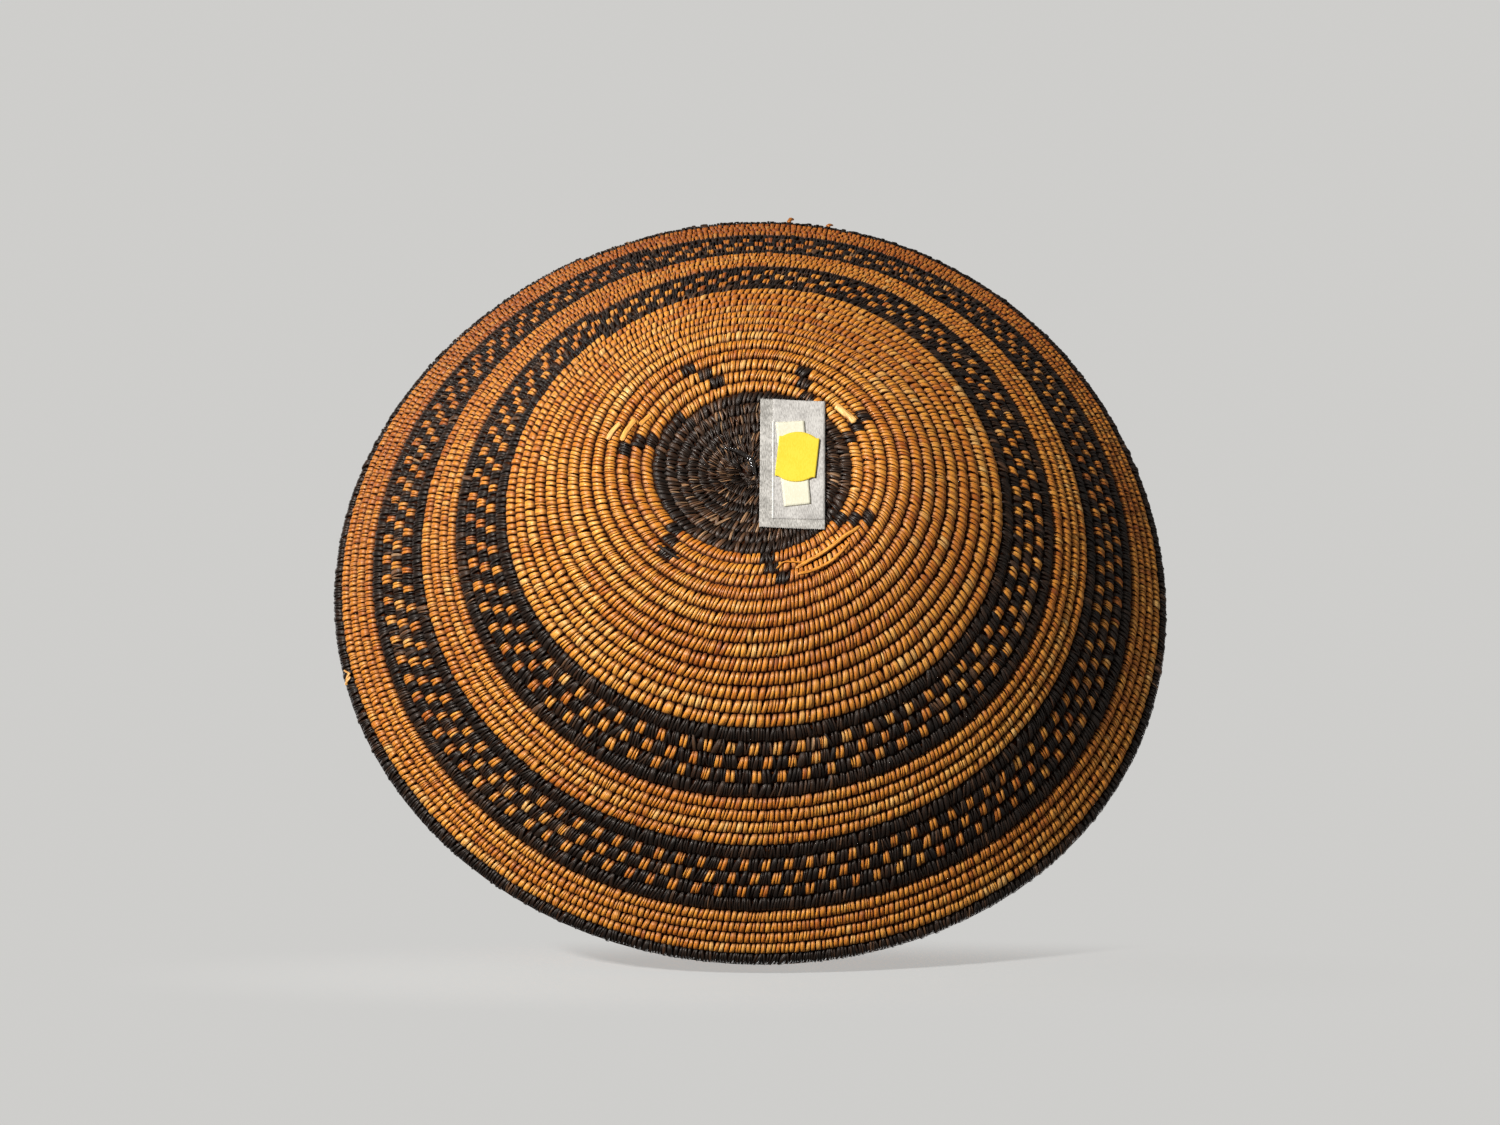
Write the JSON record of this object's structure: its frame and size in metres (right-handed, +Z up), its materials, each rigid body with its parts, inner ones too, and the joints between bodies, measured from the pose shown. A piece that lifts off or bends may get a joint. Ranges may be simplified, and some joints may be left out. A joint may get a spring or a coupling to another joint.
{
  "type": "coiled basket bowl",
  "caption": "Shallow coiled grass basket bowl with flared sides, dark base, spoke blocks, two checked bands and a paper label under the base.",
  "frame": {"origin": "middle of the rim's outline in plan, at the level of the surface the base stands on", "axes": "+Z up through the mouth; the coil winds counter-clockwise seen from +Z; the paper label lies on the -X side of the base, its long side along Y"},
  "size_m": [0.3558, 0.3538, 0.1031],
  "materials": {
    "dark_fibre": "satin",
    "straw_fibre": "satin",
    "checked_fibre": "satin",
    "tissue_paper": "matte",
    "card_paper": "matte",
    "yellow_paper": "matte"
  },
  "bodies": {
    "root": {"start_knot": "dark_fibre", "base_coil": "dark_fibre", "field_coil": "straw_fibre", "spoke_1": "dark_fibre", "spoke_2": "dark_fibre", "spoke_3": "dark_fibre", "spoke_4": "dark_fibre", "spoke_5": "dark_fibre", "spoke_6": "dark_fibre", "spoke_7": "dark_fibre", "lower_band_first_line": "dark_fibre", "lower_band_checks": "checked_fibre", "lower_band_second_line": "dark_fibre", "middle_coil": "straw_fibre", "upper_band_first_line": "dark_fibre", "upper_band_checks": "checked_fibre", "upper_band_second_line": "dark_fibre", "shoulder_coil": "straw_fibre", "rim_coil": "dark_fibre", "rim_end": "dark_fibre", "tissue_label": "tissue_paper", "paper_tag": "card_paper", "round_sticker": "yellow_paper"}
  },
  "joints": []
}
